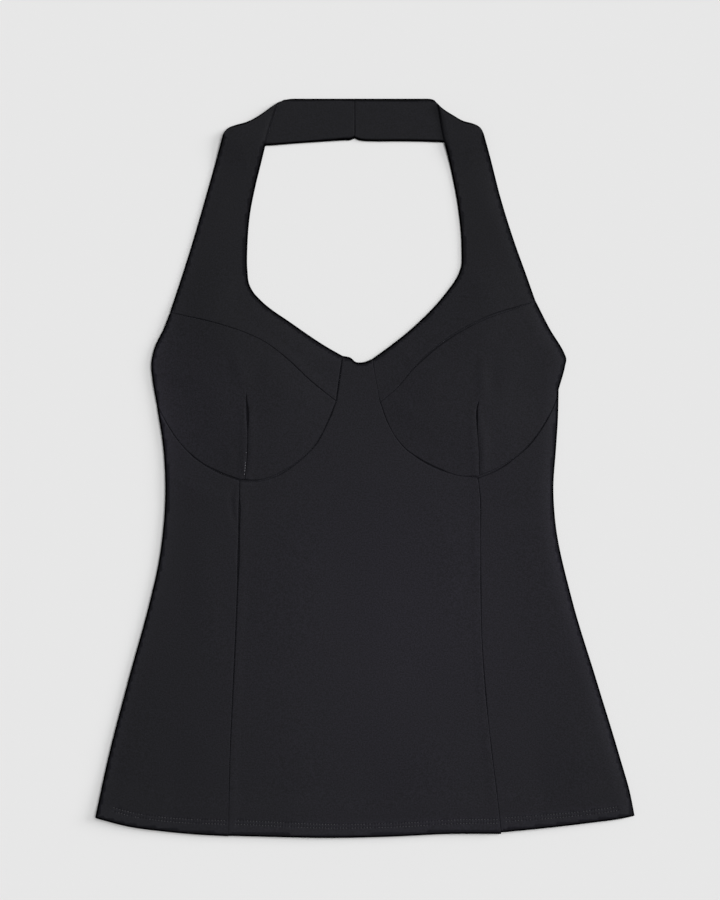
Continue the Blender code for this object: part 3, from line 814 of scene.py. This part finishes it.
def make_cup(side, cloths):
    curves = CURVES[side]
    outline = closed(
        curves["underbust_inner"], curves["underbust_outer"], curves["cup_edge"][::-1], curves["cup_seam"]
    )
    seams = [seam(side, *UNDERBUST), seam(side, "cup_seam")]
    dart = placed(smooth(SIDES[side][1]["dart"], DART_STEP), side)

    def shape(points):
        level = body_level(points) + dome(points, side) + dart_shape(points, side)
        level += creases(points, CUP_CREASES) + puckers(points, seams[1], 3.1, height=0.14)
        level += puckers(points, seams[0], 0.8, height=0.14)
        top, bottom = side_rolled(level, level - CLOTH, distance(points, SIDE_EDGES[side]))
        return all_seamed(top, bottom, points, seams)

    outline = placed(outline, side)
    return cloth_piece("cup_" + side, outline, shape, cloths, extra=beside(dart, DART_ROWS), clear=1.3)


def fold_row(side):
    """Where the strap starts to turn over, from its outer edge in, with its turn and slide."""
    tables = SIDES[side][1]
    total = along(CURVES[side]["fold"])[-1]
    near = np.array(FOLD_ENDS)
    end = near[-1] + 1.5
    even = np.linspace(end, total - end, FOLD_COLUMNS)
    lengths = np.concatenate(([0], near, even, total - near[::-1], [total]))
    share = (lengths / total)[:, None]
    outer_run = np.subtract(tables["fold"][0], tables["strap_edge"][0])
    inner_run = np.subtract(tables["fold"][-1], tables["neck_edge"][0])
    run = (1 - share) * outer_run / np.linalg.norm(outer_run)
    run += share * inner_run / np.linalg.norm(inner_run)
    run *= (FOLD_SHARP + (1 - FOLD_SHARP) * ease((total - lengths) / FOLD_PINCH))[:, None]
    crest = smooth(tables["fold"] + tables["band_top"][:3])
    start = read_at(crest, lengths)
    slide = read_at(crest, lengths + FOLD_SLIDE) - start
    row = start - run * (FOLD_RADIUS + STRAP_WALL / 2)
    return placed(row, side), placed(run, side), placed(slide, side)


def edges_from(side, row, *names):
    """The two curves that start at the two ends of the fold's row."""
    tables = [np.vstack((placed(row[[k]], side), SIDES[side][1][name])) for k, name in zip((0, -1), names)]
    return [smooth(table) for table in tables]


def band_rows(side, row):
    """The neck band's rows from the fold to the centre back, each from its lower edge up."""
    low, high = edges_from(side, row, "band_bottom", "band_top")
    turn = np.array([SEAM_TURN * share for share in EDGE_RINGS[::-1]])
    to_end = np.concatenate((np.linspace(1, BAND_LAST, BAND_ROWS)[1:], turn / along(low)[-1], [0]))
    low_row = placed(read_at(low, (1 - to_end) * along(low)[-1]), side)
    high_row = placed(read_at(high, (1 - to_end) * along(high)[-1]), side)
    across = along(row)[:, None] / along(row)[-1]
    bend = row - (row[0] + across * (row[-1] - row[0]))
    rows = []
    for k, left_over in enumerate(to_end):
        rows.append(low_row[k] + across * (high_row[k] - low_row[k]) + left_over**2 * bend)
    return rows, to_end * along(low_row)[-1]


def turned_over(side, row, run, slide):
    """The strap's faces from the fold to the centre back, and how far in each point is."""
    centre = FOLD_RADIUS + STRAP_WALL / 2
    depth, turn_in, full = BAND_SEAM
    upper, lower, away = [], [], []

    def across(line):
        reach = along(line)
        edge = np.minimum(reach, reach[-1] - reach)
        return reach, edge, STRAP_WALL / 2 * np.maximum(quarter(edge / (STRAP_WALL / 2)), THIN_EDGE)

    _, edge, thick = across(row)
    for k in range(1, FOLD_TURNS + 1):
        turn = np.pi * k / FOLD_TURNS
        away.append(np.minimum(edge, centre * (1 - np.sin(turn))))
        slid = row + slide * (1 - np.cos(turn)) / 2
        for radius, face in ((FOLD_RADIUS + thick, upper), (FOLD_RADIUS - thick, lower)):
            height = centre + radius * np.cos(turn)
            face.append(np.column_stack((slid + run * radius[:, None] * np.sin(turn), height)))
    rows, to_end = band_rows(side, row + slide)
    for band, left in zip(rows, to_end):
        reach, edge, thick = across(band)
        away.append(edge)
        drawn_in = depth * (1 - quarter(left / turn_in)) * ease(edge / full)
        lifted = np.maximum(0.12 * uneven(reach, 31.0, 0.4 + left / 40), 0)
        upper.append(np.column_stack((band, STRAP_WALL / 2 - thick)))
        lower.append(np.column_stack((band, STRAP_WALL / 2 + thick - drawn_in + lifted)))
    return np.vstack(upper), np.vstack(lower), np.concatenate(away)


def strips(first, offset, count):
    """Triangles between the first row of points and those from offset on."""
    width = len(first)
    rows = [list(first)]
    rows += [list(range(offset + k * width, offset + (k + 1) * width)) for k in range(count)]
    forward = first[1] - first[0] == 1
    triangles = []
    for near, far in zip(rows, rows[1:]):
        for k in range(width - 1):
            a, b, c, d = near[k], near[k + 1], far[k + 1], far[k]
            pair = ((b, a, d), (b, d, c)) if forward else ((a, b, c), (a, c, d))
            triangles.extend(pair)
    return np.array(triangles)


def strap_faces(side, points, seams, row, outer, neck):
    """The strap's upper and lower face from the cup to the fold."""
    level = strap_level(points, side) + allowance(points, seams[0], 1.3, width=8.0, height=0.3)
    for k, near in enumerate(seams):
        level += puckers(points, near, 2.0 * k + 1.1, height=0.12)
    bottom = np.maximum(level - STRAP_WALL, 0)
    from_row = distance(points, row)
    thin = STRAP_THIN * ease((points[:, 1] - LEVEL_TO) / FOLD_CLIMB) * ease(from_row / 8.0)
    thin *= 1 - ease(distance(points, neck) / 4.0)
    top, bottom = all_seamed(level - (level - bottom) * thin, bottom, points, seams)
    top, bottom = rounded(top, bottom, distance(points, outer), STRAP_WALL / 2)
    height = 0.5 - 0.35 * ease(from_row / 6.0)
    return rounded(top, bottom, distance(points, neck), STRAP_WALL / 2, height)


def make_strap(side, cloths):
    row, run, slide = fold_row(side)
    outer, neck = [placed(line, side) for line in edges_from(side, row, "strap_edge", "neck_edge")]
    seams = [seam(side, "cup_seam"), seam(side, "centre_seam")]
    outline = counter_clockwise(closed(seams[0][0], seams[1][0][::-1], neck[::-1], row[::-1], outer))
    at_fold = [int(np.linalg.norm(outline - point, axis=1).argmin()) for point in row]
    outline = inset(outline, SEAM_GAP / 2)
    points, triangles = triangulate(outline, inner_points(outline, GRID_STEP))
    top, bottom = strap_faces(side, points, seams, row, outer, neck)
    upper, lower, away = turned_over(side, outline[at_fold], run, slide)
    added = strips(at_fold, len(points), len(upper) // len(row))
    upper = np.vstack((np.column_stack((points, top)), upper))
    lower = np.vstack((np.column_stack((points, bottom)), lower))
    # The rim's painted shade, weaker where the strap lies on the band.
    shown = 1 - HIDDEN_RIM * ease((points[:, 1] - BAND_FROM) / 6.0)
    free = np.maximum(at_rim(distance(points, outer)), at_rim(distance(points, neck)) * shown)
    # Marks for the painted sheen along the edges and the band, and for the painted shade of the rim.
    marks = {
        "painted_edge_sheen": np.concatenate((painted_edge_sheen(points), PAINTED_SHEEN_BAND * np.exp(-away / PAINTED_SHEEN_REACH))),
        "rim": np.concatenate((free, at_rim(BAND_RIM * away))),
    }
    triangles = np.vstack((triangles, added))
    return in_place_of("strap_" + side, upper, lower, triangles, cloths, marks)


def capsule(middle, run, rise, sides=6, rings=6):
    """A stitch: a short thread that dips into the cloth at both ends."""
    across = np.cross(rise, run)
    points, faces = [], []
    for k in range(rings + 1):
        share = -1 + 2 * k / rings
        thin = STITCH_RADIUS * math.sqrt(max(1 - share**4, 0.02))
        centre = middle + run * share * STITCH_LENGTH / 2 - rise * STITCH_SAG * share**2
        for j in range(sides):
            turn = 2 * math.pi * j / sides
            points.append(centre + thin * (across * math.cos(turn) + rise * math.sin(turn)))
    for k in range(rings):
        for j in range(sides):
            a, b = k * sides + j, k * sides + (j + 1) % sides
            faces.append((a, b, b + sides, a + sides))
    faces.append(tuple(range(sides))[::-1])
    faces.append(tuple(rings * sides + j for j in range(sides)))
    return points, faces


def make_stitching(name, rows, span, sheet, material):
    """The stitches of these rows between two places of X, on the sheet's real surface."""
    bpy.context.view_layer.update()
    shuffle = random.Random(name)
    points, faces = [], []
    for middle, run in [stitch for row in rows for stitch in zip(*row)]:
        if not span[0] < middle[0] < span[1]:
            continue
        x, y = middle * MM + MIDDLE
        hit, place, normal, _ = sheet.ray_cast(Vector((x, y, SURFACE + 0.1)), Vector((0, 0, -1)))
        if not hit:
            continue
        normal = np.array(normal)
        sunk = 0.8 * uneven(middle[:1], 43.0, 1.9)[0] + shuffle.uniform(*STITCH_SHUFFLE)
        at = (np.array(place) - (*MIDDLE, SURFACE)) / MM + normal * STITCH_RADIUS * sunk
        tangent = np.array((*run, 0.0))
        tangent -= normal * (tangent @ normal)
        more_points, more_faces = capsule(at, tangent / np.linalg.norm(tangent), normal)
        faces.extend([tuple(k + len(points) for k in face) for face in more_faces])
        points.extend(more_points)
    mesh = bpy.data.meshes.new(name)
    mesh.from_pydata((np.array(points) * MM + (*MIDDLE, SURFACE)).tolist(), [], faces)
    mesh.shade_smooth()
    mesh.materials.append(material)
    piece = bpy.data.objects.new(name, mesh)
    bpy.context.collection.objects.link(piece)
    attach(piece, "root")
    return piece


# ---- materials


def node(tree, kind, inputs=None, **settings):
    """A node of this kind, with these settings and input values or links."""
    made = tree.nodes.new("ShaderNode" + kind)
    for name, value in settings.items():
        setattr(made, name, value)
    for name, value in (inputs or {}).items():
        if isinstance(value, bpy.types.NodeSocket):
            tree.links.new(value, made.inputs[name])
        else:
            made.inputs[name].default_value = value
    return made


def plain(name):
    """A new material with its tree and its shader."""
    material = bpy.data.materials.new(name)
    material.use_nodes = True
    return material, material.node_tree, material.node_tree.nodes["Principled BSDF"]


def math_of(tree, operation, *values):
    """What a Math node makes of these values."""
    return node(tree, "Math", dict(enumerate(values)), operation=operation).outputs[0]


def ranged(tree, value, before, after):
    """The value, with one range stretched onto another."""
    names = ("Value", "From Min", "From Max", "To Min", "To Max")
    return node(tree, "MapRange", dict(zip(names, (value, *before, *after)))).outputs[0]


def noise(tree, where, scale, detail):
    sizes = {"Vector": where, "Scale": scale, "Detail": detail}
    return node(tree, "TexNoise", sizes).outputs["Fac"]


def attribute(tree, name):
    return node(tree, "Attribute", attribute_name=name).outputs["Fac"]


def bumped(tree, shader, height, strength, distance):
    bump = node(tree, "Bump", {"Height": height, "Strength": strength, "Distance": distance})
    tree.links.new(bump.outputs["Normal"], shader.inputs["Normal"])


def between(tree, share, first, last):
    """A colour from the first to the last."""
    ramp = node(tree, "ValToRGB", {"Fac": share})
    for element, colour in zip(ramp.color_ramp.elements, (first, last)):
        element.color = (*colour, 1)
    return ramp.outputs["Color"]


def painted_light_pool(tree, where, middle, scale):
    """A painted pool of light: how near the middle a place is, from 1 there to 0 at the scale's reach."""
    moved = node(tree, "Mapping", {
        "Vector": where, "Location": (-middle[0] * scale[0], -middle[1] * scale[1], 0), "Scale": (*scale, 0),
    })
    sphere = node(tree, "TexGradient", {"Vector": moved.outputs[0]}, gradient_type="SPHERICAL")
    return sphere.outputs["Fac"]


# Painted pools of light that make the black bluer and paler: places in metres, reaches as one over them, how
# much.
FRONT_PAINTED_LIGHT = ((0.051, -0.133), (3.65, 2.90))
SIDE_PAINTED_LIGHT = ((-0.240, 0.055), (6.87, 9.18))
FRONT_LIGHT_SHARE = 0.94
PATCH_SHARE = 0.25
NEUTRAL_BLACK = (0.0048, 0.0049, 0.0068)
BLUE_BLACK = (0.0102, 0.0093, 0.0141)
SPECKLE = (0.6, 1.4)  # how much the yarn's own shade varies
PAINTED_SHEEN_PALER = 0.30  # how much paler the painted sheen along the edges makes it
RIM_PAINTED_SHADE = 0.97  # and how much darker the painted shade makes the turned edge
LINT = (0.085, 0.085, 0.09, 1)
LINT_SIZE = (0.007, 0.016)  # in its cells: where it is full, and where it ends
LINT_RARE = 0.80  # share of the cells without any
GLOSS = 0.22
SHEEN = 0.11
SHEEN_TINT = (0.82, 0.84, 1.0, 1)


def crepe_tone(tree, where, patches):
    """The cloth's colour from neutral to blue black: random patches of tone and painted pools of light."""
    cast = math_of(tree, "MULTIPLY_ADD", patches, PATCH_SHARE, painted_light_pool(tree, where, *SIDE_PAINTED_LIGHT))
    cast = math_of(tree, "MULTIPLY_ADD", painted_light_pool(tree, where, *FRONT_PAINTED_LIGHT), FRONT_LIGHT_SHARE, cast)
    return between(tree, cast, NEUTRAL_BLACK, BLUE_BLACK)


def crepe_height(tree, where, grain):
    """Pebbles and fine upright ribs."""
    pebbles = node(tree, "TexVoronoi", {"Vector": where, "Scale": 1150.0}, feature="SMOOTH_F1")
    sizes = {"Vector": where, "Scale": 420.0, "Distortion": 1.6, "Detail": 1.0, "Detail Scale": 2.5}
    ribs = node(tree, "TexWave", sizes, bands_direction="X").outputs["Fac"]
    rough = math_of(tree, "ADD", pebbles.outputs["Distance"], grain)
    return math_of(tree, "MULTIPLY_ADD", ribs, 0.45, rough)


def left_by_rim_shade(tree):
    """What the painted shade of the dark rim leaves of the cloth's colour, on faces that look up."""
    normal = node(tree, "NewGeometry").outputs["Normal"]
    facing = node(tree, "SeparateXYZ", {0: normal}).outputs["Z"]
    upward = ranged(tree, facing, RIM_FACING, (0.0, -RIM_PAINTED_SHADE))
    return math_of(tree, "MULTIPLY_ADD", attribute(tree, "rim"), upward, 1.0)


def lint_share(tree, where):
    """1 on a speck of lint, and 0 beside it."""
    cells = node(tree, "TexVoronoi", {"Vector": where, "Scale": 26.0})
    speck = ranged(tree, cells.outputs["Distance"], LINT_SIZE, (1.0, 0.0))
    pick = node(tree, "SeparateColor", {"Color": cells.outputs["Color"]}).outputs[0]
    return math_of(tree, "MULTIPLY", speck, math_of(tree, "GREATER_THAN", pick, LINT_RARE))


def crepe(name, share):
    """Black stretch crepe with this share of its gloss and sheen, and with painted light and shade in its
    colour.
    """
    material, tree, shader = plain(name)
    where = node(tree, "TexCoord").outputs["Object"]
    patches = noise(tree, where, 7.0, 2.0)
    grain = noise(tree, where, 800.0, 3.0)
    speckle = ranged(tree, grain, (0.35, 0.65), SPECKLE)
    # The yarn's own speckle, made paler by the painted sheen along the edges and darker by the painted shade
    # of the rim.
    shade = math_of(tree, "MULTIPLY_ADD", attribute(tree, "painted_edge_sheen"), PAINTED_SHEEN_PALER, speckle)
    shade = math_of(tree, "MULTIPLY", shade, left_by_rim_shade(tree))
    tone = crepe_tone(tree, where, patches)
    tone_with_painted_light = node(tree, "VectorMath", {0: tone, "Scale": shade}, operation="SCALE").outputs[0]
    colour = node(tree, "Mix", {"Factor": lint_share(tree, where)}, data_type="RGBA")
    tree.links.new(tone_with_painted_light, colour.inputs["A"])
    colour.inputs["B"].default_value = LINT
    tree.links.new(colour.outputs["Result"], shader.inputs["Base Color"])
    tree.links.new(ranged(tree, patches, (0.3, 0.7), (0.76, 0.80)), shader.inputs["Roughness"])
    bumped(tree, shader, crepe_height(tree, where, grain), 0.32, 0.00016)
    shader.inputs["Specular IOR Level"].default_value = GLOSS * share
    shader.inputs["Sheen Weight"].default_value = SHEEN * share
    shader.inputs["Sheen Roughness"].default_value = 0.3
    shader.inputs["Sheen Tint"].default_value = SHEEN_TINT
    return material


def thread(name, dark, pale):
    """Polyester sewing thread, twisted from a darker and a paler strand."""
    material, tree, shader = plain(name)
    where = node(tree, "TexCoord").outputs["Object"]
    sizes = {"Vector": where, "Scale": 900.0, "Distortion": 0.6}
    twist = node(tree, "TexWave", sizes, bands_direction="DIAGONAL").outputs["Fac"]
    tone = between(tree, twist, (dark, dark, dark * 1.1), (pale, pale, pale * 1.1))
    tree.links.new(tone, shader.inputs["Base Color"])
    bumped(tree, shader, twist, 0.5, 0.00008)
    shader.inputs["Roughness"].default_value = 0.5
    shader.inputs["Specular IOR Level"].default_value = 0.5
    return material


def paper():
    """The plain pale surface."""
    material, _, shader = plain("pale_surface")
    shader.inputs["Base Color"].default_value = (0.80, 0.80, 0.80, 1)
    shader.inputs["Roughness"].default_value = 1.0
    shader.inputs["Specular IOR Level"].default_value = 0.0
    return material


# ---- stage


def make_floor():
    mesh = bpy.data.meshes.new("surface")
    half = 6.0
    corners = [(-half, -half, SURFACE), (half, -half, SURFACE), (half, half, SURFACE), (-half, half, SURFACE)]
    mesh.from_pydata(corners, [], [(0, 1, 2, 3)])
    mesh.materials.append(paper())
    floor = bpy.data.objects.new("surface", mesh)
    bpy.context.collection.objects.link(floor)


SKY_SHARE = 0.14  # the part of the surface's light that comes evenly from above
# Two wide, soft lamps on the wearer's left. Columns: share, height and turn towards the neck, and width.
LAMPS = {"window": (0.65, 66, 26, 40), "low_window": (0.21, 22, 18, 26)}


def make_lights():
    world = bpy.data.worlds.new("studio")
    world.use_nodes = True
    world.node_tree.nodes["Background"].inputs["Color"].default_value = (1.0, 1.0, 1.0, 1)
    world.node_tree.nodes["Background"].inputs["Strength"].default_value = SKY_SHARE
    bpy.context.scene.world = world
    for name, (share, rise, turn, width) in LAMPS.items():
        lamp = bpy.data.lights.new(name, "SUN")
        rise, turn = math.radians(rise), math.radians(turn)
        lamp.energy = share * math.pi / math.sin(rise)
        lamp.angle = math.radians(width)
        sun = bpy.data.objects.new(name, lamp)
        towards = Vector((math.cos(rise) * math.cos(turn), math.cos(rise) * math.sin(turn), math.sin(rise)))
        sun.rotation_euler = towards.to_track_quat("Z", "Y").to_euler()
        sun.location = towards
        bpy.context.collection.objects.link(sun)


FOCAL = 85.0
SENSOR = 36.0
LENGTH_SHARE = 0.820  # of the picture's height, that the top's length takes
OFF_CENTRE = (-0.0044, 0.0162)  # where the camera looks, from the top's middle


def make_camera():
    lens = bpy.data.cameras.new("camera")
    lens.lens = FOCAL
    lens.sensor_width = SENSOR
    lens.dof.use_dof = False
    camera = bpy.data.objects.new("camera", lens)
    length = CAD_BOX[1][1] - CAD_BOX[0][1]
    away = length / LENGTH_SHARE * FOCAL / SENSOR
    camera.location = (MIDDLE[0] + OFF_CENTRE[0], MIDDLE[1] + OFF_CENTRE[1], SURFACE + away)
    bpy.context.collection.objects.link(camera)
    bpy.context.scene.camera = camera
    bpy.context.scene.view_settings.view_transform = "Standard"


# ---- everything

make_camera()
make_lights()
make_floor()
# The cloth, and its duller copies for the painted shade of the rim.
cloths = [crepe(name, share) for name, share in CLOTH_LOOKS]
# The black thread is paler than the cloth: partly its own colour, and partly a painted highlight for the
# glints on the stitches.
sewing = thread("black_thread", 0.020, 0.052)
loose_ends = thread("pale_thread", 0.10, 0.20)
back = make_back(cloths)
centre = make_centre_front(cloths)
fronts = {side: make_side_front(side, cloths) for side in SIDES}
cups = {side: make_cup(side, cloths) for side in SIDES}
straps = {side: make_strap(side, cloths) for side in SIDES}

hem = [(middles, runs) for middles, runs, _ in STITCHES]
# Columns: the sheet, and from where to where in X it has stitches.
stitched = {
    "right": (fronts["right"], (-math.inf, FEET["right"] - 1)),
    "centre": (centre, (FEET["right"] + 1, FEET["left"] - 1)),
    "left": (fronts["left"], (FEET["left"] + 1, math.inf)),
}
stitching = {
    place: make_stitching("hem_stitching_" + place, hem, span, sheet, sewing)
    for place, (sheet, span) in stitched.items()
}
anywhere = (-math.inf, math.inf)
ends = make_stitching("dart_thread_ends", dart_threads("right"), anywhere, cups["right"], loose_ends)
